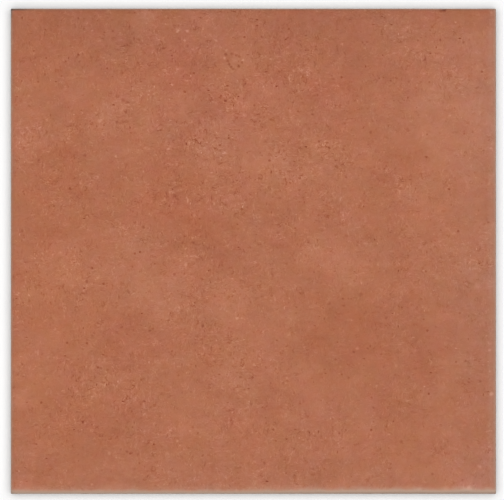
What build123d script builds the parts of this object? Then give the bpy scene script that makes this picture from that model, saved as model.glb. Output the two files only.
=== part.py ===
from build123d import *

import math
import os

# A pressed porcelain floor tile, fired as one piece.
# It lies on its keyed back with its wearing face up: +Z leaves the wearing face,
# X and Y run along the sides, and the origin is the middle of the back, on the plane of the rib tops.
# All sizes are in millimetres.

# Whole tile
side_length = 298.0
thickness = 8.5
plan_corner_radius = 1.0

# Rounded margin of the wearing face: it falls slowly from the flat, then turns down over a small nose
margin_width = 5.0
margin_drop = 1.5
nose_radius = 0.7

# Lower edge, where the side leans in towards the back
back_set_in = 0.9
back_bevel_height = 2.6

# Keying pattern that the die leaves in the back: square recesses between ribs, inside a plain border
recesses_along_side = 12
border_width = 9.35
rib_width = 4.5
recess_depth = 0.8
recess_corner_radius = 2.5
recess_wall_angle = 40.0


def margin_sweep_radius():
    """Radius of the long arc that leaves the flat face and runs into the nose, tangent to both."""
    reach = margin_width - nose_radius
    return (reach**2 + margin_drop**2 - nose_radius**2) / (2 * (margin_drop - nose_radius))


def cross_section():
    """The tile cut through its middle: back, leaning lower edge, upright side, nose, margin and face."""
    half_side = side_length / 2
    flat_half = half_side - margin_width
    sweep_radius = margin_sweep_radius()
    nose_x = half_side - nose_radius
    nose_z = thickness - margin_drop
    sweep_z = thickness - sweep_radius
    turn = math.degrees(math.atan2(nose_z - sweep_z, nose_x - flat_half))

    back = Line((0, 0), (half_side - back_set_in, 0))
    leaning_edge = Line(back @ 1, (half_side, back_bevel_height))
    nose = CenterArc((nose_x, nose_z), nose_radius, 0, turn)
    upright_side = Line(leaning_edge @ 1, nose @ 0)
    margin = CenterArc((flat_half, sweep_z), sweep_radius, turn, 90 - turn)
    face = Line(margin @ 1, (0, thickness))
    right_half = Curve() + [back, leaning_edge, upright_side, nose, margin, face]
    return make_face(right_half + mirror(right_half, Plane.YZ))


def pressed_slab():
    """What the cross-section leaves when it is run along both sides, so the margins meet in mitres."""
    run_length = 2 * side_length
    along_y = extrude(Plane.XZ * cross_section(), run_length / 2, both=True)
    along_x = Rot(0, 0, 90) * along_y
    plan = RectangleRounded(side_length, side_length, plan_corner_radius)
    return along_y & along_x & extrude(plan, thickness)


def recess_size():
    """Side of one recess: what the border and the ribs leave of the back, shared out."""
    back_width = side_length - 2 * back_set_in
    room = back_width - 2 * border_width - (recesses_along_side - 1) * rib_width
    return room / recesses_along_side


def keying_recesses():
    """The square recesses, with sloping walls so that the tile leaves the die."""
    size = recess_size()
    pitch = size + rib_width
    mouth = RectangleRounded(size, size, recess_corner_radius)
    recess = extrude(mouth, recess_depth, taper=recess_wall_angle)
    count = recesses_along_side
    return [place * recess for place in GridLocations(pitch, pitch, count, count)]


def floor_tile():
    """The whole fired tile."""
    return pressed_slab() - keying_recesses()


os.makedirs("parts", exist_ok=True)
export_step(floor_tile(), "parts/floor_tile.step")
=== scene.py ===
import math
import random

import bmesh
import bpy
from mathutils import Matrix, Vector, noise


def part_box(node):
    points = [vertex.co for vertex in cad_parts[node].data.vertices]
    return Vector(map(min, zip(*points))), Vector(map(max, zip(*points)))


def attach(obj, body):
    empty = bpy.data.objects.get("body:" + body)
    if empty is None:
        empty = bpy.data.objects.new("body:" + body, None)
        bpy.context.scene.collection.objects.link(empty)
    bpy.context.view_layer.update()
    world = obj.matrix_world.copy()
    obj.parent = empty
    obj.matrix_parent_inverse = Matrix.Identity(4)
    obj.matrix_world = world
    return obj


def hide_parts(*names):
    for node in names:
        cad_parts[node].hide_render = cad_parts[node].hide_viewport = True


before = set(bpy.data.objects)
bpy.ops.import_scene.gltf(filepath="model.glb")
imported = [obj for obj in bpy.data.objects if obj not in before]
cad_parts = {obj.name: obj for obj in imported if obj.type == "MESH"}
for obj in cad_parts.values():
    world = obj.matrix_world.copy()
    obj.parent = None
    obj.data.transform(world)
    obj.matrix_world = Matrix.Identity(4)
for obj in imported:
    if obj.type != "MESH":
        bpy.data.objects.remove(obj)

bl_info = {
    "name": "Clay-red porcelain floor tile",
    "version": (1, 0, 0),
    "blender": (4, 5, 0),
    "location": "3D View > Sidebar > Floor Tile",
    "description": "Dresses a pressed floor tile with its printed face, worn margin and keyed back",
    "category": "Object",
}

CAD_NODE = "floor_tile"
CAD_BODY = "root"
CAD_LOW, CAD_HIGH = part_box(CAD_NODE)
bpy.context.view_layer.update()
SIDE_LENGTH = CAD_HIGH.x - CAD_LOW.x
THICKNESS = CAD_HIGH.z - CAD_LOW.z
MM = 0.001

# The photograph's frame and the tile's outline in it, in pixels
PHOTO_WIDTH = 504
PHOTO_HEIGHT = 500
TILE_LEFT = 10.6
TILE_RIGHT = 496.15
TILE_TOP = 8.6
TILE_BOTTOM = 494.0

# From the middle of the tile to its outline, in millimetres, as the materials use them
OUTLINE = SIDE_LENGTH / 2 / MM

# Steps of the side's profile: over the margin, round the nose and down the upright side
MARGIN_STEPS = 8
NOSE_STEPS = 6
SIDE_STEPS = 3

# Middle point of the arris of the back, inwards and up, as shares of the arris
ARRIS_BEND = (0.3, 0.12)

# Common pits from large to small: radius and depth as shares of the strongest, how dark (painted shade in
# the hollow, over the pit's own stain), and how many
COMMON_PITS = ((0.85, 0.80, 0.60, 0.08), (0.70, 0.65, 0.42, 0.27), (0.55, 0.50, 0.32, 0.65))

# Rings of a pit from its lip inwards: width and fall as shares of its radius and depth, and how dark, as
# painted shade that deepens into the hollow
PIT_RINGS = ((0.20, 0.0, 0.35), (0.17, 0.55, 0.80), (0.22, 0.35, 1.0), (0.22, 0.10, 1.0))

# Mesh cells kept free round a pit, how far it strays from its vertex as a share of a cell, how often in a
# metre zones with more pits and with fewer take turns, and the seed of their draws
PIT_SPACING = 2
PIT_STRAY = 0.35
PIT_ZONES = 28.0
PIT_SEED = 1207

# Rings of a keying recess from its rim down: width and fall as shares of its depth
RECESS_RINGS = ((0.12, 0.03), (0.10, 0.10), (0.55, 0.66), (0.14, 0.15), (0.18, 0.06))

# Waves of the fired surface: how far they are driven to their limits, a seed each, and the depth and
# length of the edge's own wave as shares of the short wave's
WAVE_GAIN = 1.4
SWELL_SEED = 3.7
RIPPLE_SEED = 11.3
EDGE_SEED = 23.9
EDGE_DEPTH = 1.6
EDGE_LENGTH = 1.7

# Half the width of the floor, and how far it lies below the tile
FLOOR_REACH = 20.0
FLOOR_GAP = 0.02 * MM


def length(title, words, default):
    """A length that the sidebar shows in the scene's own unit."""
    return bpy.props.FloatProperty(
        name=title, description=words, default=default, min=0.0, precision=5,
        subtype="DISTANCE", unit="LENGTH",
    )


def count(title, words, default):
    """A number of like things."""
    return bpy.props.IntProperty(name=title, description=words, default=default, min=1)


def share(title, words, default):
    """A number from 0 to 1."""
    return bpy.props.FloatProperty(
        name=title, description=words, default=default, min=0.0, max=1.0, subtype="FACTOR",
    )


def angle(title, words, degrees):
    """An angle, given here in degrees."""
    return bpy.props.FloatProperty(
        name=title, description=words, default=math.radians(degrees), min=0.0,
        subtype="ANGLE", unit="ROTATION",
    )


def colour(title, words, default):
    """A linear colour."""
    return bpy.props.FloatVectorProperty(
        name=title, description=words, default=default, size=3, min=0.0, max=1.0, subtype="COLOR",
    )


class TileSizes(bpy.types.PropertyGroup):
    """Sizes of the pressed shape and of the marks that pressing and firing leave on it."""

    corner_radius: length("Corner radius", "Rounding of the four corners in plan", 0.5 * MM)
    margin_width: length("Margin width", "Rounded border of the wearing face", 5.0 * MM)
    margin_drop: length("Margin drop", "How far the border falls to the nose", 1.5 * MM)
    nose_radius: length("Nose radius", "Turn from the border into the side", 0.7 * MM)
    back_set_in: length("Back set-in", "How far the side leans in towards the back", 0.9 * MM)
    back_bevel_height: length("Lean height", "Height at which the side starts to lean", 2.6 * MM)
    back_arris: length("Back arris", "Small rounding round the edge of the back", 0.25 * MM)
    recesses_along_side: count("Recesses", "Keying recesses along one side", 12)
    border_width: length("Back border", "Plain border round the keying recesses", 9.35 * MM)
    rib_width: length("Rib width", "Rib between two recesses", 4.5 * MM)
    recess_depth: length("Recess depth", "Depth of the keying recesses", 0.8 * MM)
    recess_corner: length("Recess corner", "Corner radius of a recess", 2.5 * MM)
    face_cells: count("Face cells", "Mesh cells along the flat of the face", 144)
    swell: length("Swell", "Depth of the slow waves in the wearing face", 0.09 * MM)
    swell_length: length("Swell length", "Width of one slow wave", 46.0 * MM)
    ripple: length("Ripple", "Depth of the short waves in the face and along its edge", 0.05 * MM)
    ripple_length: length("Ripple length", "Width of one short wave", 9.0 * MM)
    pits: count("Pits", "Open pits in the wearing face", 260)
    pit_radius: length("Pit radius", "Radius of the strongest pits, at their lip", 0.95 * MM)
    pit_depth: length("Pit depth", "Depth of the strongest pits", 0.30 * MM)


class TileColours(bpy.types.PropertyGroup):
    """Linear colours of the fused colour layer and of the fired body."""

    fired_clay: colour("Fired clay", "Mean colour of the wearing face", (0.4090, 0.1208, 0.0466))
    # Partly painted shade deepening into each pit, over its own darker stain
    pit_shade_brown: colour("Pit brown", "Burnt-out bottom of a pit", (0.250, 0.038, 0.002))
    body_beige: colour("Body beige", "Porcelain body, bare on the sides and the back", (0.556, 0.373, 0.277))
    # Also the colour of the painted shade down the sides
    body_grain: colour("Body grain", "Darker grains in the body", (0.120, 0.094, 0.070))
    # Painted shade: the grey smudge on the upper left corner, where the edges turn away from the light
    edge_shade: colour("Edge soot", "Smudge on one corner", (0.085, 0.062, 0.048))
    kiln_wash: colour("Kiln wash", "Thin white wash left on the ribs of the back", (0.560, 0.500, 0.430))


class StudioSettings(bpy.types.PropertyGroup):
    """The floor, the lamps and the camera."""

    floor_colour: colour("Floor colour", "Plain pale floor", (0.97, 0.97, 0.97))
    sky_level: share("Sky level", "Even light from all round", 0.01)
    lamp_level: share("Lamp level", "Light of the wide soft lamp overhead, on the face", 0.99)
    lamp_spread: angle("Lamp spread", "How wide the lamp looks from the tile", 84.0)
    camera_height: length("Camera height", "From the wearing face to the camera", 3.0)


def arc_points(centre, radius, start, end, steps):
    """Points along an arc in the plane of the profile, without the first one. Angles are in degrees."""
    angles = (math.radians(start + (end - start) * i / steps) for i in range(1, steps + 1))
    return [(centre[0] + radius * math.cos(a), centre[1] + radius * math.sin(a)) for a in angles]


def side_profile(sizes):
    """Half-width and height of each ring from the edge of the flat face down to the edge of the back."""
    half = SIDE_LENGTH / 2
    reach = sizes.margin_width - sizes.nose_radius
    fall = sizes.margin_drop - sizes.nose_radius
    sweep = (reach**2 + sizes.margin_drop**2 - sizes.nose_radius**2) / (2 * fall)
    nose = (half - sizes.nose_radius, THICKNESS - sizes.margin_drop)
    sweep_centre = (half - sizes.margin_width, THICKNESS - sweep)
    turn = math.degrees(math.atan2(nose[1] - sweep_centre[1], nose[0] - sweep_centre[0]))
    margin = arc_points(sweep_centre, sweep, 90, turn, MARGIN_STEPS)
    arris = arc_points(nose, sizes.nose_radius, turn, 0, NOSE_STEPS)
    rise = sizes.back_bevel_height - nose[1]
    upright = [(half, nose[1] + rise * i / SIDE_STEPS) for i in range(1, SIDE_STEPS + 1)]
    lean = Vector((sizes.back_set_in, sizes.back_bevel_height)).normalized() * sizes.back_arris
    foot = half - sizes.back_set_in
    bend = (foot - sizes.back_arris * ARRIS_BEND[0], sizes.back_arris * ARRIS_BEND[1])
    back_edge = [(foot + lean.x, lean.y), bend, (foot - sizes.back_arris, 0.0)]
    return margin + arris + upright + back_edge


def in_order(elements):
    """Parts of a mesh, each once, in an order that is the same each run."""
    return list(dict.fromkeys(elements))


def pit_classes(sizes):
    """Radius, depth, darkness and number of each class: the strong pits, then the common ones."""
    common = sizes.pits - len(STRONG_PORES)
    rows = [(sizes.pit_radius, sizes.pit_depth, 1.0, len(STRONG_PORES))]
    for wide, deep, dark, part in COMMON_PITS:
        rows.append((sizes.pit_radius * wide, sizes.pit_depth * deep, dark, round(common * part)))
    return rows


def cell_of(vert, cell):
    """The mesh cell of a vertex, as two whole numbers."""
    return round(vert.co.x / cell), round(vert.co.y / cell)


def cells_near(place):
    """A mesh cell and those round it that one pit keeps free of others."""
    around = range(-PIT_SPACING, PIT_SPACING + 1)
    return [(place[0] + i, place[1] + j) for i in around for j in around]


def sink_pits(bm, sizes, cell, rng):
    """Turns vertices of the face into round pits, each with a flat lip, steep wall and dished bottom."""
    pit = bm.verts.layers.float.new("pit")
    reach = SIDE_LENGTH / 2 - sizes.margin_width - (PIT_SPACING + 1) * cell
    free = [v for v in bm.verts if max(abs(v.co.x), abs(v.co.y)) < reach]
    rng.shuffle(free)
    inner = [v for v in bm.verts if not v.is_boundary]
    taken = set()
    chosen = []
    for x, y in STRONG_PORES:
        spot = Vector((x * MM, y * MM, THICKNESS))
        vert = min(inner, key=lambda v: (v.co - spot).length_squared)
        taken.update(cells_near(cell_of(vert, cell)))
        chosen.append(vert)
    for vert in free:
        crowd = 0.5 + 0.5 * noise.noise(vert.co * PIT_ZONES)
        if rng.random() > crowd or cell_of(vert, cell) in taken:
            continue
        taken.update(cells_near(cell_of(vert, cell)))
        chosen.append(vert)
        if len(chosen) == sizes.pits:
            break
    for vert, (x, y) in zip(chosen, STRONG_PORES):
        vert.co = (x * MM, y * MM, THICKNESS)
    for vert in chosen[len(STRONG_PORES):]:
        vert.co.x += rng.uniform(-PIT_STRAY, PIT_STRAY) * cell
        vert.co.y += rng.uniform(-PIT_STRAY, PIT_STRAY) * cell
    start = 0
    for radius, depth, darkness, number in pit_classes(sizes):
        verts = chosen[start:start + number]
        start += number
        if verts:
            sink_class(bm, verts, radius, depth, darkness, pit)


def make_round(face, radius):
    """Moves the corners of a level face onto a circle, at equal steps and as little turned as can be."""
    middle = face.calc_center_median()
    step = math.tau / len(face.verts)
    turned = Vector((0.0, 0.0))
    for i, vert in enumerate(face.verts):
        spoke = (vert.co - middle).to_2d().normalized()
        spoke.rotate(Matrix.Rotation(-i * step, 2))
        turned += spoke
    start = math.atan2(turned.y, turned.x)
    for i, vert in enumerate(face.verts):
        bearing = start + i * step
        vert.co = middle + Vector((math.cos(bearing), math.sin(bearing), 0.0)) * radius


def sink_class(bm, verts, radius, depth, darkness, pit):
    """Pits of one size, each cut out round its vertex and then sunk ring by ring."""
    made = bmesh.ops.bevel(
        bm, geom=verts, affect="VERTICES", offset=radius, offset_type="OFFSET",
        segments=2, profile=0.5, material=-1, clamp_overlap=True,
    )
    patch = set(made["faces"])
    middles = [v for v in made["verts"] if patch.issuperset(v.link_faces)]
    inside = set(middles)
    rims = in_order(v for v in made["verts"] if v not in inside)
    around = set(rims)
    bmesh.ops.dissolve_verts(bm, verts=middles)
    bottoms = in_order(f for v in rims for f in v.link_faces if around.issuperset(f.verts))
    for face in bottoms:
        make_round(face, radius)
    for inset, sink, tint in PIT_RINGS:
        bmesh.ops.inset_individual(
            bm, faces=bottoms, thickness=radius * inset, depth=-depth * sink, use_even_offset=True,
        )
        for face in bottoms:
            for vert in face.verts:
                vert[pit] = tint * darkness


def round_flat(bm, sizes):
    """Rounds the four corners of the flat, so that every ring below it has rounded corners too."""
    corners = [v for v in bm.verts if len(v.link_edges) == 2]
    bmesh.ops.bevel(
        bm, geom=corners, affect="VERTICES", offset=sizes.corner_radius, offset_type="OFFSET",
        segments=3, profile=0.5, material=-1,
    )


def run_margin_and_sides(bm, sizes):
    """Runs the open edge of the face outwards and down the profile, ring by ring."""
    ring = [e for e in bm.edges if e.is_boundary]
    last = (SIDE_LENGTH / 2 - sizes.margin_width, THICKNESS)
    for half, height in side_profile(sizes):
        made = bmesh.ops.extrude_edge_only(bm, edges=ring)["geom"]
        ring = [g for g in made if isinstance(g, bmesh.types.BMEdge)]
        verts = [g for g in made if isinstance(g, bmesh.types.BMVert)]
        grow = half / last[0]
        bmesh.ops.scale(bm, verts=verts, vec=(grow, grow, 1.0))
        bmesh.ops.translate(bm, verts=verts, vec=(0.0, 0.0, height - last[1]))
        last = (half, height)


def keying_recess(bm, sizes, size):
    """One rounded square recess at the middle of the back, open at the plane of the rib tops."""
    made = bmesh.ops.create_grid(bm, x_segments=1, y_segments=1, size=size / 2)
    bmesh.ops.bevel(
        bm, geom=made["verts"], affect="VERTICES", offset=sizes.recess_corner,
        offset_type="OFFSET", segments=4, profile=0.5, material=-1,
    )
    bmesh.ops.reverse_faces(bm, faces=bm.faces[:])
    floor = bm.faces[:]
    depth = sizes.recess_depth
    for inset, sink in RECESS_RINGS:
        bmesh.ops.inset_individual(
            bm, faces=floor, thickness=depth * inset, depth=-depth * sink, use_even_offset=True,
        )


def key_back(bm, sizes):
    """Repeats the recess over the back and closes the ribs and the border round it in one plane."""
    half_back = SIDE_LENGTH / 2 - sizes.back_set_in
    number = sizes.recesses_along_side
    size = (2 * (half_back - sizes.border_width) - (number - 1) * sizes.rib_width) / number
    pitch = size + sizes.rib_width
    one = bmesh.new()
    keying_recess(one, sizes, size)
    cell = bpy.data.meshes.new("recess_cell")
    one.to_mesh(cell)
    one.free()
    known = set(bm.verts)
    bm.from_mesh(cell)
    bpy.data.meshes.remove(cell)
    first = [v for v in bm.verts if v not in known]
    group = first + in_order(e for v in first for e in v.link_edges)
    group += in_order(f for v in first for f in v.link_faces)
    for i in range(number):
        for j in range(number):
            place = ((i - (number - 1) / 2) * pitch, (j - (number - 1) / 2) * pitch, 0.0)
            copy = bmesh.ops.duplicate(bm, geom=group)["geom"]
            verts = [g for g in copy if isinstance(g, bmesh.types.BMVert)]
            bmesh.ops.translate(bm, verts=verts, vec=place)
    bmesh.ops.delete(bm, geom=first, context="VERTS")
    edges = [e for e in bm.edges if e.is_boundary]
    filled = bmesh.ops.triangle_fill(
        bm, use_beauty=True, use_dissolve=False, edges=edges, normal=(0, 0, -1),
    )
    return [g for g in filled["geom"] if isinstance(g, bmesh.types.BMFace)]


def wave(point, width, seed):
    """A smooth wave from 0 to 1, about as wide as given."""
    height = WAVE_GAIN * noise.noise(point / width + Vector((0, 0, seed)))
    return 0.5 + 0.5 * max(-1.0, min(1.0, height))


def settle_surface(bm, sizes):
    """Lets the face and its edge sink by slow and short waves, never outwards."""
    foot = sizes.back_bevel_height
    half = SIDE_LENGTH / 2
    for vert in bm.verts:
        if vert.co.z <= foot:
            continue
        rise = min(1.0, (vert.co.z - foot) / (THICKNESS - sizes.margin_drop - foot))
        flat = Vector((vert.co.x, vert.co.y, 0.0))
        slow = sizes.swell * wave(flat, sizes.swell_length, SWELL_SEED)
        short = sizes.ripple * wave(flat, sizes.ripple_length, RIPPLE_SEED)
        vert.co.z -= rise * (slow + short)
        edge = max(abs(vert.co.x), abs(vert.co.y)) / half
        edge_wave = wave(flat, sizes.ripple_length * EDGE_LENGTH, EDGE_SEED)
        inward = rise * sizes.ripple * EDGE_DEPTH * edge_wave
        if edge > 1.0 - sizes.margin_width / half:
            pull = 1.0 - inward / half
            vert.co.x *= pull
            vert.co.y *= pull


def lay_out_map(bm, sizes):
    """UV map: the wearing face takes most of it, the back a smaller square, the sides a strip each."""
    layer = bm.loops.layers.uv.new("OFBake")
    face_share, back_share, strip, gap = 0.700, 0.286, 0.026, 0.007
    half = SIDE_LENGTH / 2
    facing_up, lying_level = 0.45, 0.3
    back_height = sizes.recess_depth * 1.01
    for face in bm.faces:
        normal = face.normal
        middle = face.calc_center_median()
        for loop in face.loops:
            x, y, z = loop.vert.co
            if normal.z > facing_up:
                place = (0.5 * face_share * (1 + x / half), 0.5 * face_share * (1 + y / half))
            elif middle.z < back_height and abs(normal.z) > lying_level:
                place = (
                    face_share + gap + 0.5 * back_share * (1 - x / half),
                    0.5 * back_share * (1 + y / half),
                )
            else:
                along_x = abs(middle.y) > abs(middle.x)
                row = (0 if middle.y < 0 else 1) if along_x else (2 if middle.x < 0 else 3)
                along = x if along_x else y
                base = face_share + gap + row * (strip + gap)
                place = (0.5 * face_share * (1 + along / half), base + strip * z / THICKNESS)
            loop[layer].uv = place


def shade(bm, flat_faces):
    """Smooth shading, with the rib tops and the border of the back kept flat."""
    for face in bm.faces:
        face.smooth = True
    for face in flat_faces:
        face.smooth = False


def fired_shape(sizes):
    """The whole tile as one closed mesh."""
    rng = random.Random(PIT_SEED)
    cell = (SIDE_LENGTH - 2 * sizes.margin_width) / sizes.face_cells
    bm = bmesh.new()
    bmesh.ops.create_grid(
        bm, x_segments=sizes.face_cells, y_segments=sizes.face_cells,
        size=SIDE_LENGTH / 2 - sizes.margin_width,
    )
    bmesh.ops.translate(bm, verts=bm.verts, vec=(0.0, 0.0, THICKNESS))
    sink_pits(bm, sizes, cell, rng)
    round_flat(bm, sizes)
    run_margin_and_sides(bm, sizes)
    back_plane = key_back(bm, sizes)
    settle_surface(bm, sizes)
    bm.normal_update()
    shade(bm, back_plane)
    lay_out_map(bm, sizes)
    mesh = bpy.data.meshes.new("fired_tile")
    bm.to_mesh(mesh)
    bm.free()
    return mesh


class Wiring:
    """Adds nodes to a material or a world by plain calls. A value is a number, a colour or a socket."""

    def __init__(self, owner):
        owner.use_nodes = True
        self.tree = owner.node_tree
        self.tree.nodes.clear()

    def node(self, kind, inputs, output=0, **settings):
        """A node with its settings and inputs set. Returns one of its outputs."""
        made = self.tree.nodes.new(kind)
        for name, value in settings.items():
            setattr(made, name, value)
        for name, value in inputs.items():
            self.feed(made.inputs[name], value)
        return made.outputs[output] if made.outputs else None

    def feed(self, socket, value):
        """Joins a socket, or sets its value."""
        if isinstance(value, bpy.types.NodeSocket):
            self.tree.links.new(value, socket)
        elif hasattr(value, "__len__") and len(value) == 3 and socket.type == "RGBA":
            socket.default_value = (*value, 1.0)
        else:
            socket.default_value = value

    def sum(self, first, *others):
        """All values added."""
        for other in others:
            first = self.node("ShaderNodeMath", {0: first, 1: other}, operation="ADD")
        return first

    def product(self, first, *others):
        """All values multiplied."""
        for other in others:
            first = self.node("ShaderNodeMath", {0: first, 1: other}, operation="MULTIPLY")
        return first

    def scaled(self, value, factor, offset=0.0):
        """A value times a factor, plus an offset."""
        return self.node("ShaderNodeMath", {0: value, 1: factor, 2: offset}, operation="MULTIPLY_ADD")

    def power(self, value, exponent):
        """A value raised to a power."""
        return self.node("ShaderNodeMath", {0: value, 1: exponent}, operation="POWER")

    def clamped(self, value):
        """A value kept between 0 and 1."""
        return self.node("ShaderNodeClamp", {"Value": value})

    def ramp(self, value, start, end, low=0.0, high=1.0):
        """A soft step from low to high as the value goes from start to end."""
        ends = {"Value": value, "From Min": start, "From Max": end, "To Min": low, "To Max": high}
        return self.node("ShaderNodeMapRange", ends, interpolation_type="SMOOTHSTEP", clamp=False)

    def blend(self, factor, first, second):
        """A mix of two colours."""
        made = self.tree.nodes.new("ShaderNodeMix")
        made.data_type = "RGBA"
        made.clamp_factor = True
        self.feed(made.inputs[0], factor)
        self.feed(made.inputs[6], first)
        self.feed(made.inputs[7], second)
        return made.outputs[2]

    def grain(self, place, width, octaves=0.0, rough=0.5, distortion=0.0):
        """Noise from about -0.5 to 0.5, with its widest marks about as wide as given."""
        inputs = {
            "Vector": place, "Scale": 1.0 / width, "Detail": octaves, "Roughness": rough,
            "Distortion": distortion,
        }
        return self.scaled(self.node("ShaderNodeTexNoise", inputs), 1.0, -0.5)

    def cells(self, place, width, output):
        """Scattered cells about as wide as given: Distance to the cell's point, or its own Color."""
        inputs = {"Vector": place, "Scale": 1.0 / width}
        return self.node("ShaderNodeTexVoronoi", inputs, output=output)

    def shifted(self, place, offset):
        """The same place, moved, so that a second pattern doesn't repeat the first."""
        inputs = {0: place, 1: offset}
        return self.node("ShaderNodeVectorMath", inputs, operation="ADD")

    def distance(self, place, x, y):
        """How far a level place is from a point of it."""
        inputs = {0: place, 1: (x, y, 0.0)}
        return self.node("ShaderNodeVectorMath", inputs, output="Value", operation="DISTANCE")

    def stretched(self, place, factors):
        """The same place, multiplied along each axis."""
        return self.node("ShaderNodeVectorMath", {0: place, 1: factors}, operation="MULTIPLY")

    def turbulence(self, place, width, octaves):
        """A level vector of noise from about -0.5 to 0.5 in X and in Y."""
        sideways = self.grain(place, width, octaves)
        lengthways = self.grain(self.shifted(place, (17.0, 5.0, 39.0)), width, octaves)
        return self.node("ShaderNodeCombineXYZ", {"X": sideways, "Y": lengthways})

    def stirred(self, place, width, octaves, reach):
        """The same place, pushed about by turbulence, so that what is drawn there gets ragged."""
        inputs = {0: self.turbulence(place, width, octaves), 1: (reach, reach, 0.0), 2: place}
        return self.node("ShaderNodeVectorMath", inputs, operation="MULTIPLY_ADD")

    def peaked(self, value, least=0.05):
        """A value times its own size, so that noise gets faint in most places and strong in a few."""
        size = self.node("ShaderNodeMath", {0: value}, operation="ABSOLUTE")
        return self.product(value, self.scaled(size, 1.0, least))

    def channel(self, tint, name):
        """Red, Green or Blue of a colour."""
        return self.node("ShaderNodeSeparateColor", {0: tint}, output=name)

    def part(self, vector, axis):
        """X, Y or Z of a vector."""
        return self.node("ShaderNodeSeparateXYZ", {0: vector}, output=axis)


# What one step of each quality adds to red, green and blue, in steps of the display's 255.
# The shine whitens the dark channels most, so a grey step asks more of green and blue.
PALER = (1.01, 1.17, 1.36)
HAZIER = (-0.82, 0.0, 0.83)
REDDER = (0.81, -0.27, 0.0)
YELLOWER = (0.0, 0.0, -1.34)

DISPLAY_STEPS = 255
DISPLAY_GAMMA = 2.2

# Many small marks lie along or across the tile: their pattern is squeezed across and drawn out along
BARELY_ALONG_X = (0.87, 1.15, 1.0)
ALONG_X = (0.66, 1.35, 1.0)
ALONG_Y = (1.35, 0.66, 1.0)
FAR_ALONG_X = (0.62, 1.40, 1.0)
FAR_ALONG_Y = (1.40, 0.62, 1.0)

# Tones of noise over the whole face: offset in the noise, width in millimetres, octaves, roughness, steps
PALE_TONE = ((9.0, 2.0, 55.0), 36.0, 2.0, 0.9, 9.0)
HAZY_TONE = ((310.0, 40.0, 7.0), 60.0, 2.0, 0.8, 3.0)
RED_TONE = ((41.0, 3.0, 77.0), 16.0, 2.0, 1.0, 16.0)
YELLOW_TONE = ((13.0, 88.0, 19.0), 16.0, 2.0, 1.0, 15.0)
MIDDLE_TONE = ((0.0, 7.0, 12.0), 14.0, 2.0, 0.8, 12.0)

# Patches with a clear edge: offset, width, octaves and roughness of the noise, the noise at which a patch
# starts and is full, and steps
PALE_PATCHES = ((88.0, 3.0, 29.0), 16.0, 4.0, 0.75, 0.03, 0.07, 2.8)
DEEP_PATCHES = ((7.0, 66.0, 52.0), 14.0, 4.0, 0.75, 0.04, 0.08, -2.4)

# Smallest marks of the clay: width in millimetres, and steps
FINE_WIDTH = 2.27
FINE_STEPS = 236.0

# How strong the small marks are in the calmest and the liveliest clay, and how far a lively patch reaches
# and how much of it is full, as shares of its radius
CALMEST = 0.20
LIVELIEST = 1.95
PATCH_EDGE = 1.35
PATCH_CORE = 0.25

# Specks: distance between two and size in millimetres, and the share of places that have one; then how
# ragged they are in millimetres, and the power that makes strong ones rare
PORES = (3.9, 0.50, 0.50)
GRAINS = (4.3, 0.50, 0.45)
SPECK_STIR = 0.9
SPECK_CONTRAST = 1.6

# Hairlines: width in millimetres of the noise whose zero they follow, and their edge and core in it
HAIRLINE_BENDS = 5.0
HAIRLINE_EDGE = 0.030
HAIRLINE_CORE = 0.006

# Steps of the strongest specks and hairlines: pores and cracks darker, grains and chips paler
PORE_STEPS = 33.0
CRACK_STEPS = 11.0
GRAIN_STEPS = 26.0
CHIP_STEPS = 9.0

# How widely the clouds are stirred, in millimetres, and how far a cloud's soft edge reaches and how much
# of it is full, as shares of its radius
CLOUD_STIR = 22.0
CLOUD_EDGE = 1.25
CLOUD_CORE = 0.40

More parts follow.
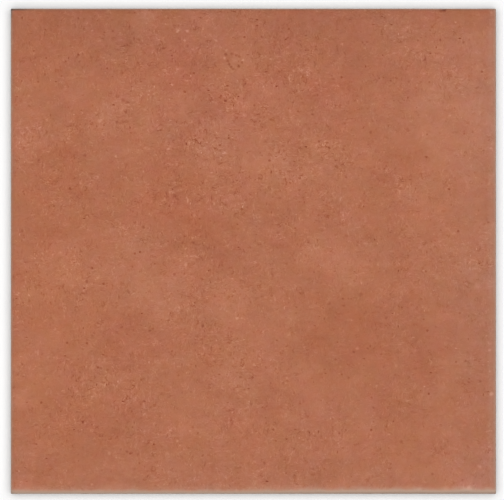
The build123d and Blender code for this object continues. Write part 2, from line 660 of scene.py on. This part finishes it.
# Soft clouds that stand out on the face: place in millimetres from its middle, radius, and how many steps
# paler (or deeper), hazier (or warmer) and redder (or greyer) they are than the rest
CLOUDS = (
    (8, 55, 18, 5.2, 0.0, 0.0),
    (43, 58, 13, 4.8, 0.0, 0.0),
    (68, 56, 12, 2.5, 0.0, 0.0),
    (106, 34, 18, 4.0, 0.0, 0.0),
    (135, 85, 48, 4.2, 0.0, 0.0),
    (138, -12, 28, 3.0, 0.5, 0.0),
    (118, -42, 40, -0.4, 1.2, -0.4),
    (43, -3, 14, 4.8, 0.0, 0.0),
    (65, -8, 13, 4.2, -0.5, 0.0),
    (-56, -26, 19, 5.8, 0.0, 0.0),
    (-15, -33, 15, 6.0, 0.0, 0.0),
    (-118, -9, 20, 3.2, 0.0, 0.0),
    (-84, -6, 22, 3.0, 0.0, 0.0),
    (-90, 81, 12, 4.2, 0.5, 0.0),
    (-62, 90, 24, 2.2, 0.0, 0.0),
    (-146, 74, 20, 4.2, 0.0, 0.0),
    (2, 91, 14, 1.2, 0.0, 1.0),
    (36, 106, 11, 3.8, 0.0, 0.0),
    (-68, 143, 11, 4.5, 0.5, 0.5),
    (-38, -98, 20, 1.5, 0.0, 0.0),
    (-12, -75, 12, 2.6, 0.0, 0.0),
    (50, -112, 26, 1.6, 1.2, 0.6),
    (-132, -68, 22, 2.2, 0.0, 0.5),
    (54, -50, 28, -5.4, -0.8, 0.0),
    (84, -92, 16, -4.2, 0.0, 0.0),
    (88, -50, 24, -3.6, 0.0, 0.3),
    (104, -74, 14, -4.2, 0.0, 0.0),
    (-28, 5, 20, -5.0, 0.0, 1.2),
    (-50, 34, 26, -3.6, -1.0, 2.0),
    (-121, 54, 18, -4.0, -2.0, 0.6),
    (-122, 24, 26, -1.8, -1.5, -0.4),
    (-94, 36, 20, -2.6, 0.0, 0.4),
    (12, 14, 16, -2.6, 0.0, 0.5),
    (86, 44, 17, -2.6, 0.0, 0.0),
    (-46, 116, 22, -3.0, 1.0, 2.5),
    (-100, 144, 40, -4.0, 1.0, 0.0),
    (40, 132, 42, -3.8, 0.5, 0.5),
    (52, 95, 22, -1.6, 0.4, 2.6),
    (-24, 88, 11, -3.2, 1.0, 1.5),
    (-112, -116, 38, -3.0, -0.6, 0.0),
    (-70, -112, 18, -2.2, 0.0, 0.0),
    (-72, -60, 26, -3.8, 0.0, 1.0),
    (10, -92, 14, -3.2, 0.0, 0.0),
    (-14, 112, 60, -0.5, 1.1, 1.9),
    (-6, 119, 18, 0.0, -1.0, -2.2),
    (92, 108, 46, 0.0, 1.2, 0.5),
    (-28, 72, 26, 0.0, 1.2, 0.0),
    (-25, 64, 17, 2.6, 0.0, 0.0),
    (-134, 131, 28, -3.0, -1.0, 0.0),
    (132, -132, 26, 2.4, 1.3, 0.2),
    (128, 76, 30, 2.2, 1.2, 0.2),
    (40, -141, 30, -2.4, 0.0, -0.6),
    (-141, -145, 10, 4.0, 0.0, 2.5),
    (-149, -66, 9, 5.0, -2.0, -1.0),
    (-149, -92, 9, 5.0, -2.0, -1.0),
    (110, -146, 26, 2.0, -1.0, 0.0),
    (-141, -40, 62, 0.0, -1.9, 0.0),
    (140, 142, 22, -0.8, -2.0, 0.0),
)

# Painted sheen along the four sides, strongest on the right and along the bottom margin, with the top darker
# as painted shade: axis, side, where it starts in millimetres from the middle, and steps paler and hazier
# where it is full, just outside the outline
SHEEN_END = OUTLINE + 3
SHEEN_SIDES = (
    ("X", 1.0, 112, 1.8, 5.2),
    ("Y", 1.0, 108, -2.2, 3.2),
    ("Y", -1.0, 116, 2.0, 2.8),
    ("Y", -1.0, 141, 6.0, -3.0),
    ("X", -1.0, 134, 1.0, 2.0),
)

# What shows along each side, by the distance from the outline in millimetres: axis and side, then three
# bands, of bare body, of faint bare body and of painted shade, each with its share, where it starts and is
# full. The bare body reaches further at the bottom and right, where it is also a painted highlight on the
# rounded edge; the shade darkens the nose where it turns down.
RIMS = (
    ("Y", -1.0, (0.85, 3.5, 0.35), (0.20, 7.0, 1.2), (0.16, 2.8, 0.4)),
    ("X", 1.0, (0.36, 2.0, 0.5), (0.17, 6.0, 2.0), (0.05, 2.6, 1.2)),
    ("Y", 1.0, (0.50, 0.9, 0.3), (0.07, 2.4, 1.0), (0.13, 1.9, 0.9)),
    ("X", -1.0, (0.52, 1.3, 0.4), (0.12, 3.0, 1.0), (0.12, 2.8, 0.9)),
)

# Towards its right end the bottom side is rubbed harder and painted lighter: a paler band of bare body and
# painted highlight, then a dark line of painted shade at the outline, from one X to another in millimetres
RIGHT_END_FROM = -30.0
RIGHT_END_TO = 80.0
WORN_AND_LIT_BAND = (0.30, 5.2, 2.4)
SHADE_LINE = (0.10, 1.8, 0.8)

# A grey smudge of painted shade on the upper left corner, where the top and left edges turn away from the
# light, running along the top and down the left side: where it starts and is full across the side, how
# uneven its end is, where it ends and is full along the side, and its share
SHADE_ALONG_TOP = (1.7, 0.5, 7.0, 17.0, 3.0, 0.62)
SHADE_DOWN_LEFT = (1.6, 0.4, 6.0, 11.0, 2.0, 0.50)

# Ends of the print on the side, in millimetres below the face: the side darkens with painted shade where it
# turns down, then the body shows
SIDE_STARTS = 0.9
SIDE_FULL = 1.6
PRINT_ENDS = 1.1
BODY_STARTS = 1.9
PRINT_RAGGED = 0.6

# The bare body: how much of its grains the rubbed rims show, while the sides show them all as painted shade,
# and the height in millimetres at which the wash of the back ends and is full
RIM_GRAINS = 0.18
WASH_TOP = 0.25
WASH_FULL = 0.02

# Roughness of the print, what mist, one step of a pore and the bare body add to it, and the specular level
PRINT_ROUGHNESS = 0.56
MIST_ROUGHNESS = 0.22
PORE_ROUGHNESS = 0.004
BODY_ROUGHNESS = 0.22
SHINE = 0.4

# Fine relief: its depth and how the pores count in it. Share of brown in the bottom of a strong pit, partly
# painted shade in the hollow
RELIEF_DEPTH = 0.06 * MM
PORE_RELIEF = -1.2
PIT_DARKENING = 0.60

# How marks are made ragged, in millimetres, how far a mark's soft edge reaches and how much of it is full,
# as shares of its radius, and how strong dark and pale marks are
MARK_STIR_WIDTH = 1.6
MARK_STIR = 1.5
MARK_EDGE = 1.2
MARK_CORE = 0.2
DARK_STRENGTH = 1.3
PALE_STRENGTH = 0.98

# Single marks that stand out: place in millimetres from the middle, radius, and steps paler or darker
MARKS = (
    # upper left
    (-50.0, 120.3, 0.8, -20),
    (-49.6, 118.2, 0.8, -15),
    (-55.4, 124.5, 1.0, -18),
    (-86.1, 135.1, 0.9, -14),
    (-107.3, 143.0, 0.9, -14),
    (-112.3, 126.0, 0.8, -11),
    (-107.5, 120.6, 0.9, -13),
    (-106.8, 116.4, 0.9, -12),
    (-134.6, 123.0, 0.9, -13),
    (-134.0, 119.0, 0.8, -11),
    (-134.5, 121.2, 0.9, 14),
    (-46.7, 135.1, 1.0, 26),
    (-40.6, 135.1, 1.0, 26),
    (-42.3, 129.3, 1.1, 24),
    (-23.0, 129.3, 1.0, 20),
    (-31.0, 136.4, 1.3, 12),
    (-50.0, 102.4, 1.0, 32),
    (-84.2, 58.2, 1.1, 22),
    (-94.4, 80.1, 1.7, 15),
    (-83.6, 79.4, 1.2, -17),
    (-17.2, 92.6, 0.9, -18),
    (-17.9, 91.6, 0.8, 16),
    (-83.4, 94.6, 1.6, -10),
    (-80.0, 93.0, 1.6, -10),
    (-77.5, 91.2, 1.4, -9),
    (-141.4, 36.6, 0.8, -16),
    (-140.6, 35.2, 0.8, -13),
    (-131.6, 55.8, 0.9, -13),
    (-135.4, 70.3, 1.0, -15),
    (-126.9, 73.1, 1.0, -14),
    (-48.4, 34.0, 1.5, -11),
    (-46.6, 32.0, 1.1, -9),
    (-36.7, 5.2, 1.1, -14),
    (-103.3, 59.0, 1.1, -12),
    (-72.8, 17.6, 1.1, -15),
    (-67.5, 15.0, 1.3, -14),
    (-29.6, 80.0, 0.9, -13),
    # the scar: a broken dark ring round a pale middle
    (-17.0, 120.9, 1.1, -19),
    (-13.2, 121.1, 1.2, -15),
    (-10.6, 120.3, 1.2, -17),
    (-8.6, 119.5, 1.0, -14),
    (-15.8, 116.7, 1.1, -15),
    (-14.9, 114.9, 1.1, -22),
    (-13.7, 113.2, 1.1, -20),
    (-12.5, 111.9, 1.0, -12),
    (-8.9, 114.0, 1.1, -27),
    (-7.0, 115.8, 1.0, -16),
    (-17.7, 118.7, 1.1, 26),
    (-16.6, 123.4, 1.0, 16),
    (-6.4, 117.5, 1.1, 24),
    (-11.6, 117.2, 2.0, 5),
    (-13.0, 110.4, 1.0, 6),
    # upper right
    (32.1, 132.3, 1.0, -15),
    (101.0, 129.4, 1.0, -17),
    (114.7, 129.6, 0.9, -17),
    (128.9, 128.3, 1.0, -16),
    (36.5, 84.2, 1.0, -18),
    (24.4, 91.4, 0.9, -16),
    (0.6, 89.6, 0.9, -15),
    (71.9, 73.0, 1.1, -15),
    (56.8, 45.6, 0.9, -14),
    (79.0, 133.0, 1.0, -13),
    (70.0, 128.4, 0.9, -13),
    (67.0, 128.4, 0.9, -12),
    (38.4, 125.8, 0.8, -12),
    (38.2, 123.6, 0.8, -11),
    (94.5, 74.6, 1.6, -10),
    (50.0, 89.3, 1.1, -11),
    (53.4, 89.4, 1.2, -12),
    (15.2, 11.5, 1.4, -7),
    (54.1, 127.3, 1.2, 20),
    (24.7, 110.9, 0.9, 18),
    (29.3, 107.0, 0.9, 14),
    (10.8, 118.0, 0.9, 16),
    (120.6, 83.2, 1.0, 17),
    (38.9, 65.4, 1.1, 10),
    (88.0, 40.8, 1.0, 6),
    (91.0, 40.5, 1.1, 12),
    (94.4, 39.8, 1.1, 11),
    (146.2, 63.2, 1.0, 15),
    (144.6, 41.2, 1.3, 12),
    # lower left
    (-31.0, -45.6, 1.2, -19),
    (-48.4, -14.0, 1.1, -16),
    (-20.2, -59.8, 0.9, -16),
    (-67.3, -92.0, 1.1, -16),
    (-8.0, -77.2, 0.9, -13),
    (-80.8, -46.7, 1.0, -13),
    (-63.4, -48.9, 1.0, -16),
    (-141.0, -76.9, 1.0, -15),
    (-142.0, -69.2, 1.0, -15),
    (-102.3, -18.4, 1.1, -14),
    (-77.6, -123.0, 1.0, -10),
    (-81.4, -121.9, 0.9, -8),
    (-74.6, -123.6, 1.0, -11),
    (-71.0, -124.6, 1.0, -10),
    (-101.5, -56.0, 2.0, 4),
    (-41.5, -8.3, 1.2, 20),
    (-46.7, -116.4, 1.1, 18),
    (-99.1, -143.2, 1.2, 17),
    (-91.0, -82.0, 1.0, 16),
    (-10.2, -41.1, 1.1, 22),
    (-7.0, -41.0, 1.0, 14),
    (-22.5, -133.0, 1.0, 15),
    (-133.0, -62.0, 1.4, 12),
    (-88.4, -124.0, 1.2, 14),
    (-110.2, -25.6, 1.1, 14),
    (-53.0, -124.0, 1.5, 10),
    # lower right
    (52.7, -111.5, 1.1, -18),
    (50.3, -110.9, 1.1, 16),
    (73.6, -96.0, 1.0, -15),
    (24.8, -121.4, 1.0, -14),
    (132.0, -68.2, 1.1, -15),
    (130.4, -67.2, 0.9, -12),
    (139.2, -79.8, 0.9, -15),
    (128.3, -140.4, 1.0, -15),
    (109.8, -136.8, 0.8, -14),
    (6.6, -129.8, 1.0, -14),
    (55.0, -29.0, 0.8, -15),
    (58.3, -29.0, 0.7, -12),
    (60.1, -29.1, 0.7, -12),
    (58.7, -77.8, 1.0, -13),
    (46.8, -31.8, 1.3, -10),
    (55.4, -33.4, 1.2, -12),
    (66.0, -26.6, 1.5, -10),
    (61.8, -61.8, 1.0, -16),
    (63.8, -59.6, 1.4, 15),
    (70.0, -59.6, 0.9, -13),
    (43.8, -41.4, 1.0, -12),
    (81.7, -40.8, 1.0, -11),
    (90.7, -116.8, 1.3, -13),
    (10.6, -81.0, 0.9, -12),
    (50.0, -12.2, 0.9, -14),
    (37.3, -12.8, 0.8, -13),
    (112.7, -15.8, 2.0, 10),
    (137.4, -21.2, 2.2, 10),
    (20.5, -78.0, 1.1, 17),
    (138.8, -132.0, 1.6, 10),
    (146.2, -87.6, 1.6, 26),
    (145.0, -60.6, 1.3, 18),
    (145.2, -73.6, 1.1, 14),
    (87.6, -70.0, 1.2, 11),
    (23.2, -42.4, 5.0, 5),
    # along the bottom, pale marks that are painted highlights on the rounded edge, and dark marks on the top
    # edge
    (132.4, -146.2, 2.6, 28),
    (129.0, -146.0, 1.8, 16),
    (118.5, -145.9, 2.4, 12),
    (102.0, -146.6, 2.0, 20),
    (-22.5, -146.6, 1.7, 12),
    (117.0, 148.4, 1.6, -40),
    (115.0, 147.6, 1.2, -14),
)

# Places of the strongest pores, in millimetres from the middle: each is a real pit
STRONG_PORES = (
    (-36.8, 109.2),
    (-42.0, 97.8),
    (-5.3, 131.3),
    (-112.8, 38.8),
    (-7.0, 25.8),
    (140.3, 110.3),
    (54.2, 107.0),
    (40.3, 67.3),
    (9.9, 55.6),
    (106.3, 57.9),
    (120.2, 38.2),
    (125.7, 12.4),
    (-130.2, -93.0),
    (-102.0, -56.5),
    (-114.4, -56.2),
    (-95.3, -71.1),
    (-91.9, -20.0),
    (-73.0, -1.2),
    (-69.4, -0.4),
    (-75.5, -124.1),
    (-0.7, -77.3),
    (107.0, -48.9),
    (107.6, -87.4),
    (72.4, -109.6),
    (12.2, -109.3),
)

# Where the small marks are stronger or weaker than elsewhere: place, radius and share more
LIVELY_PATCHES = (
    (-24, 80, 85, 0.40),
    (85, -85, 85, -0.30),
    (-112, -92, 55, 0.16),
    (-12, 118, 15, -0.65),
    (2, 62, 14, -0.35),
)


def tone(w, place, settings):
    """Noise in display steps."""
    offset, width, octaves, rough, steps = settings
    return w.product(w.grain(w.shifted(place, offset), width, octaves, rough), steps)


def patches(w, place, settings):
    """Patches with a clear edge, in display steps."""
    offset, width, octaves, rough, start, full, steps = settings
    return w.ramp(w.grain(w.shifted(place, offset), width, octaves, rough), start, full, 0.0, steps)


def clouds(w, flat):
    """How many steps paler, hazier and redder each place of the face is than the plain clay, with painted
    sheen along its sides.
    """
    stirred = w.stirred(flat, CLOUD_STIR, 5.0, CLOUD_STIR)
    paler = tone(w, flat, PALE_TONE)
    hazier = tone(w, flat, HAZY_TONE)
    redder = tone(w, flat, RED_TONE)
    for x, y, radius, more_pale, more_haze, more_red in CLOUDS:
        near = w.ramp(w.distance(stirred, x, y), radius * CLOUD_EDGE, radius * CLOUD_CORE)
        paler = w.scaled(near, more_pale, paler) if more_pale else paler
        hazier = w.scaled(near, more_haze, hazier) if more_haze else hazier
        redder = w.scaled(near, more_red, redder) if more_red else redder
    # Painted sheen along the sides
    for axis, side, start, more_pale, more_haze in SHEEN_SIDES:
        near = w.ramp(w.product(w.part(stirred, axis), side), start, SHEEN_END)
        paler = w.scaled(near, more_pale, paler)
        hazier = w.scaled(near, more_haze, hazier)
    return paler, hazier, redder


def liveliness(w, flat):
    """How strong the small marks are: calm clay in some patches, crowded and crisp in others."""
    patchy = w.grain(w.shifted(flat, (0.0, 0.0, 91.0)), 50.0, 4.0, 0.95)
    lively = w.ramp(patchy, -0.24, 0.26, CALMEST, LIVELIEST)
    for x, y, radius, more in LIVELY_PATCHES:
        near = w.ramp(w.distance(flat, x, y), radius * PATCH_EDGE, radius * PATCH_CORE)
        lively = w.product(lively, w.scaled(near, more, 1.0))
    return lively


def fine_marks(w, flat, offset, stretch):
    """The smallest marks of the clay, drawn out one way."""
    return w.grain(w.stretched(w.shifted(flat, offset), stretch), FINE_WIDTH, 2.0, 1.0, 0.9)


def mottling(w, flat, lively):
    """Fine and middling mottling: the smallest marks lie along in some places and stand in others."""
    level = w.stretched(flat, BARELY_ALONG_X)
    middle = tone(w, level, MIDDLE_TONE)
    pale_patch = patches(w, level, PALE_PATCHES)
    deep_patch = patches(w, level, DEEP_PATCHES)
    lying = fine_marks(w, flat, (5.0, 9.0, 31.0), FAR_ALONG_X)
    upright = fine_marks(w, flat, (2.0, 44.0, 17.0), FAR_ALONG_Y)
    which = w.ramp(w.grain(w.shifted(flat, (61.0, 8.0, 5.0)), 7.0, 1.0), -0.03, 0.03)
    where_lying = w.product(w.peaked(lying), which)
    where_upright = w.product(w.peaked(upright), w.scaled(which, -1.0, 1.0))
    fine = w.sum(where_lying, where_upright)
    return w.sum(middle, pale_patch, deep_patch, w.product(fine, FINE_STEPS, lively))


def specks(w, flat, kind, offset, stretch):
    """Sparse specks, a few of them strong: from 0 to 1."""
    spacing, size, crowd = kind
    place = w.stretched(w.shifted(flat, offset), stretch)
    ragged = w.stirred(place, SPECK_STIR, 1.0, SPECK_STIR)
    own = w.cells(ragged, spacing, "Color")
    away = w.product(w.cells(ragged, spacing, "Distance"), spacing)
    strength = w.ramp(w.channel(own, "Red"), 1.0 - crowd, 1.0)
    radius = w.scaled(w.channel(own, "Green"), size, size * 0.6)
    near = w.ramp(w.node("ShaderNodeMath", {0: away, 1: radius}, operation="DIVIDE"), 1.0, 0.25)
    return w.product(near, w.power(strength, SPECK_CONTRAST))


def hairlines(w, flat, offset):
    """Short crooked lines, scattered thinly: from 0 to 1."""
    place = w.shifted(flat, offset)
    ridge = w.node("ShaderNodeMath", {0: w.grain(place, HAIRLINE_BENDS, 2.0, 0.6)}, operation="ABSOLUTE")
    thin = w.ramp(ridge, HAIRLINE_EDGE, HAIRLINE_CORE)
    broken = w.ramp(w.grain(w.shifted(place, (3.0, 8.0, 15.0)), HAIRLINE_BENDS, 1.0), 0.06, 0.15)
    return w.product(thin, broken)


def tinted(w, plain, changes):
    """A colour moved by so many display steps of each quality."""
    code = w.node("ShaderNodeGamma", {"Color": plain, "Gamma": 1 / DISPLAY_GAMMA})
    for steps, direction in changes:
        one_step = tuple(part / DISPLAY_STEPS for part in direction)
        move = w.node("ShaderNodeVectorMath", {0: one_step, "Scale": steps}, operation="SCALE")
        code = w.node("ShaderNodeVectorMath", {0: code, 1: move}, operation="ADD")
    return w.node("ShaderNodeGamma", {"Color": code, "Gamma": DISPLAY_GAMMA})


def printed_clay(w, flat, colours):
    """Colour of the fused clay layer, the steps its pores take off it, and the holes of its relief."""
    paler, hazier, redder = clouds(w, flat)
    yellower = tone(w, flat, YELLOW_TONE)
    holes = specks(w, flat, PORES, (3.0, 60.0, 4.0), ALONG_X)
    pores = w.sum(holes, specks(w, flat, PORES, (35.0, 22.0, 8.0), ALONG_Y))
    grains = w.sum(
        specks(w, flat, GRAINS, (71.0, 5.0, 9.0), ALONG_X),
        specks(w, flat, GRAINS, (16.0, 93.0, 3.0), ALONG_Y),
    )
    cracks = hairlines(w, flat, (27.0, 14.0, 3.0))
    chips = hairlines(w, flat, (92.0, 31.0, 8.0))
    lively = liveliness(w, flat)
    sunk = w.product(w.sum(w.product(pores, PORE_STEPS), w.product(cracks, CRACK_STEPS)), lively)
    proud = w.product(w.sum(w.product(grains, GRAIN_STEPS), w.product(chips, CHIP_STEPS)), lively)
    steps = w.sum(paler, mottling(w, flat, lively), w.product(sunk, -1.0), proud, single_marks(w, flat))
    changes = ((steps, PALER), (hazier, HAZIER), (redder, REDDER), (yellower, YELLOWER))
    return tinted(w, tuple(colours.fired_clay), changes), sunk, holes


def rims(w, flat):
    """Share of bare body along the four sides, partly a painted highlight at the bottom and right, and the
    share of painted shade that darkens the outline.
    """
    wavy = w.scaled(w.grain(w.shifted(flat, (4.0, 51.0, 63.0)), 16.0, 3.0, 0.75), 1.3, 1.0)
    bare, shade_share = 0.0, 0.0
    for axis, side, body, faint, dark in RIMS:
        inset = w.product(w.scaled(w.part(flat, axis), -side, OUTLINE), wavy)
        bare = w.sum(bare, rim_band(w, inset, body), rim_band(w, inset, faint))
        shade_share = w.sum(shade_share, rim_band(w, inset, dark))
    # Along the right of the bottom: a band of bare body and painted highlight, and a line of painted shade
    inset = w.product(w.scaled(w.part(flat, "Y"), 1.0, OUTLINE), wavy)
    rightward = w.ramp(w.part(flat, "X"), RIGHT_END_FROM, RIGHT_END_TO)
    bare = w.sum(bare, w.product(rightward, rim_band(w, inset, WORN_AND_LIT_BAND)))
    shade_share = w.sum(shade_share, w.product(rightward, rim_band(w, inset, SHADE_LINE)))
    return w.clamped(bare), shade_share


def rim_band(w, inset, band):
    """A soft band beside the outline: its share, where it starts and where it is full."""
    most, start, full = band
    return w.ramp(inset, start, full, 0.0, most)


def shade_arm(w, across, along, wavy, settings):
    """One arm of the painted shade, by the distances from the side that it lies on and from the corner."""
    start, full, uneven, end, core, most = settings
    near_side = w.ramp(across, start, full)
    return w.product(near_side, w.ramp(w.scaled(wavy, uneven, along), end, core, 0.0, most))


def corner_shade(w, flat):
    """Share of the grey painted shade on the upper left corner, which runs out along both its sides."""
    wavy = w.grain(w.shifted(flat, (33.0, 9.0, 2.0)), 5.0, 2.0, 0.7)
    from_left = w.scaled(w.part(flat, "X"), 1.0, OUTLINE)
    from_top = w.scaled(w.part(flat, "Y"), -1.0, OUTLINE)
    along_top = shade_arm(w, from_top, from_left, wavy, SHADE_ALONG_TOP)
    down_left = shade_arm(w, from_left, from_top, wavy, SHADE_DOWN_LEFT)
    return w.clamped(w.sum(along_top, down_left))


def single_marks(w, flat):
    """How many steps paler or darker the face is at the marks that stand out."""
    ragged = w.stirred(flat, MARK_STIR_WIDTH, 1.0, MARK_STIR)
    steps = 0.0
    for x, y, radius, change in MARKS:
        away = w.distance(ragged, x, y)
        change *= DARK_STRENGTH if change < 0 else PALE_STRENGTH
        steps = w.sum(w.ramp(away, radius * MARK_EDGE, radius * MARK_CORE, 0.0, change), steps)
    return steps


def bare_body(w, place, height, side, colours):
    """Colour of the fired body, darkened down the sides by painted shade, with the white wash that the kiln
    rollers' side keeps on its ribs.
    """
    grains = w.ramp(w.grain(place, 0.9, 2.0, 0.8), -0.02, 0.16)
    patchy = w.ramp(w.grain(place, 17.0, 3.0, 0.6), -0.2, 0.2)
    # Down the sides the dark grains are painted shade
    grains_and_shade = w.scaled(side, 1.0 - RIM_GRAINS, RIM_GRAINS)
    grainy = w.product(w.scaled(grains, 0.45, 0.55), grains_and_shade)
    body = w.blend(grainy, tuple(colours.body_beige), tuple(colours.body_grain))
    washed = w.product(w.ramp(height, WASH_TOP, WASH_FULL), w.scaled(patchy, 0.45, 0.30))
    return w.blend(washed, body, tuple(colours.kiln_wash))


def fired_finish(colours):
    """The one material of the tile: clay print on the face, thinning over the nose to the bare body."""
    material = bpy.data.materials.new("fired_porcelain")
    w = Wiring(material)
    metres = w.node("ShaderNodeTexCoord", {}, output="Object")
    place = w.node("ShaderNodeMapping", {"Vector": metres, "Scale": (1 / MM, 1 / MM, 1 / MM)})
    flat = w.stretched(place, (1.0, 1.0, 0.0))
    height = w.part(place, "Z")
    # Bare body along the sides, partly painted highlight, and the painted shade of the outline
    worn, shade_share = rims(w, flat)
    clay, sunk, holes = printed_clay(w, flat, colours)
    pit = w.node("ShaderNodeAttribute", {}, output="Fac", attribute_name="pit")
    # Pits darken inwards: partly painted shade in the hollow
    clay = w.blend(w.product(pit, PIT_DARKENING), clay, tuple(colours.pit_shade_brown))
    top = THICKNESS / MM
    # How far down the side the painted shade reaches
    side = w.ramp(height, top - SIDE_STARTS, top - SIDE_FULL)
    body = bare_body(w, place, height, side, colours)
    ragged = w.sum(height, w.product(w.grain(place, 7.0, 4.0, 0.7), PRINT_RAGGED))
    unprinted = w.ramp(ragged, top - PRINT_ENDS, top - BODY_STARTS)
    bare = w.node("ShaderNodeMath", {0: worn, 1: unprinted}, operation="MAXIMUM")
    face = w.blend(bare, clay, body)
    # Painted shade on the upper left corner
    face = w.blend(corner_shade(w, flat), face, tuple(colours.edge_shade))
    # Painted shade darkens the colour along the outline
    light_left = w.scaled(shade_share, -1.0, 1.0)
    face = w.node("ShaderNodeVectorMath", {0: face, "Scale": light_left}, operation="SCALE")
    mist = w.grain(w.shifted(place, (17.0, 3.0, 0.0)), 1.6, 3.0, 0.8)
    roughness = w.sum(
        w.scaled(mist, MIST_ROUGHNESS, PRINT_ROUGHNESS),
        w.product(sunk, PORE_ROUGHNESS),
        w.product(bare, BODY_ROUGHNESS),
    )
    relief = w.sum(w.grain(place, 1.3, 3.0, 0.75), w.product(holes, PORE_RELIEF))
    bump = w.node("ShaderNodeBump", {"Strength": 1.0, "Distance": RELIEF_DEPTH, "Height": relief})
    shader = w.node(
        "ShaderNodeBsdfPrincipled",
        {"Base Color": face, "Roughness": roughness, "Specular IOR Level": SHINE, "Normal": bump},
    )
    w.node("ShaderNodeOutputMaterial", {"Surface": shader})
    return material


class OBJECT_OT_fired_tile(bpy.types.Operator):
    """Builds the fired tile: printed face, pits, worn margin, leaning sides and keyed back"""

    bl_idname = "object.fired_tile"
    bl_label = "Fired Tile"

    def execute(self, context):
        mesh = fired_shape(context.scene.tile_sizes)
        mesh.materials.append(fired_finish(context.scene.tile_colours))
        tile = bpy.data.objects.new("fired_tile", mesh)
        context.scene.collection.objects.link(tile)
        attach(tile, CAD_BODY)
        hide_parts(CAD_NODE)
        return {"FINISHED"}


def floor_finish(studio):
    """A plain pale floor that keeps the tile's shadow."""
    material = bpy.data.materials.new("studio_floor")
    w = Wiring(material)
    matt = w.node("ShaderNodeBsdfDiffuse", {"Color": tuple(studio.floor_colour)})
    w.node("ShaderNodeOutputMaterial", {"Surface": matt})
    return material


def add_floor(context, studio):
    """A wide level floor, just under the tile."""
    bm = bmesh.new()
    bmesh.ops.create_grid(bm, x_segments=1, y_segments=1, size=FLOOR_REACH)
    bmesh.ops.translate(bm, verts=bm.verts, vec=(0.0, 0.0, -FLOOR_GAP))
    mesh = bpy.data.meshes.new("studio_floor")
    bm.to_mesh(mesh)
    bm.free()
    mesh.materials.append(floor_finish(studio))
    floor = bpy.data.objects.new("studio_floor", mesh)
    context.scene.collection.objects.link(floor)


def add_world(context, studio):
    """Even light from all round, and white where the world itself is seen."""
    world = bpy.data.worlds.new("studio_sky")
    context.scene.world = world
    w = Wiring(world)
    even = w.node("ShaderNodeBackground", {"Color": (1.0, 1.0, 1.0), "Strength": studio.sky_level})
    white = w.node("ShaderNodeBackground", {"Color": (1.0, 1.0, 1.0), "Strength": 1.0})
    seen = w.node("ShaderNodeLightPath", {}, output="Is Camera Ray")
    mixed = w.node("ShaderNodeMixShader", {0: seen, 1: even, 2: white})
    w.node("ShaderNodeOutputWorld", {"Surface": mixed})


def add_lamp(context, studio):
    """A far, wide and soft lamp overhead. Level 1 is what a white face needs to look white."""
    lamp = bpy.data.lights.new("overhead_lamp", "SUN")
    lamp.energy = studio.lamp_level * math.pi
    lamp.angle = studio.lamp_spread
    holder = bpy.data.objects.new("overhead_lamp", lamp)
    holder.location = (0.0, 0.0, 1.0)
    context.scene.collection.objects.link(holder)


def add_camera(context, studio):
    """Straight above the tile through a long lens, with the tile where the photograph has it."""
    scale = SIDE_LENGTH / (TILE_RIGHT - TILE_LEFT)
    camera = bpy.data.cameras.new("photo_camera")
    camera.sensor_fit = "HORIZONTAL"
    camera.lens = camera.sensor_width * studio.camera_height / (PHOTO_WIDTH * scale)
    camera.clip_end = 100.0
    holder = bpy.data.objects.new("photo_camera", camera)
    left_of_middle = (TILE_LEFT + TILE_RIGHT - PHOTO_WIDTH) / 2
    above_middle = (TILE_TOP + TILE_BOTTOM - PHOTO_HEIGHT) / 2
    holder.location = (-left_of_middle * scale, above_middle * scale, THICKNESS + studio.camera_height)
    context.scene.collection.objects.link(holder)
    context.scene.camera = holder


class SCENE_OT_tile_studio(bpy.types.Operator):
    """Sets up the floor, the light and the camera of the photograph"""

    bl_idname = "scene.tile_studio"
    bl_label = "Tile Studio"

    def execute(self, context):
        studio = context.scene.tile_studio
        add_floor(context, studio)
        add_world(context, studio)
        add_lamp(context, studio)
        add_camera(context, studio)
        context.scene.view_settings.view_transform = "Standard"
        return {"FINISHED"}


class VIEW3D_PT_floor_tile(bpy.types.Panel):
    """The tile's sizes, colours and studio, with the buttons that build them"""

    bl_label = "Floor Tile"
    bl_space_type = "VIEW_3D"
    bl_region_type = "UI"
    bl_category = "Floor Tile"

    def draw(self, context):
        groups = (
            (context.scene.tile_sizes, None),
            (context.scene.tile_colours, OBJECT_OT_fired_tile),
            (context.scene.tile_studio, SCENE_OT_tile_studio),
        )
        for values, button in groups:
            box = self.layout.box()
            for name in type(values).__annotations__:
                box.prop(values, name)
            if button:
                box.operator(button.bl_idname)


CLASSES = (
    TileSizes, TileColours, StudioSettings,
    OBJECT_OT_fired_tile, SCENE_OT_tile_studio, VIEW3D_PT_floor_tile,
)


def register():
    for cls in CLASSES:
        bpy.utils.register_class(cls)
    bpy.types.Scene.tile_sizes = bpy.props.PointerProperty(type=TileSizes)
    bpy.types.Scene.tile_colours = bpy.props.PointerProperty(type=TileColours)
    bpy.types.Scene.tile_studio = bpy.props.PointerProperty(type=StudioSettings)


def unregister():
    del bpy.types.Scene.tile_studio
    del bpy.types.Scene.tile_colours
    del bpy.types.Scene.tile_sizes
    for cls in reversed(CLASSES):
        bpy.utils.unregister_class(cls)


def main():
    register()
    bpy.ops.object.fired_tile()
    bpy.ops.scene.tile_studio()


if __name__ == "__main__":
    main()
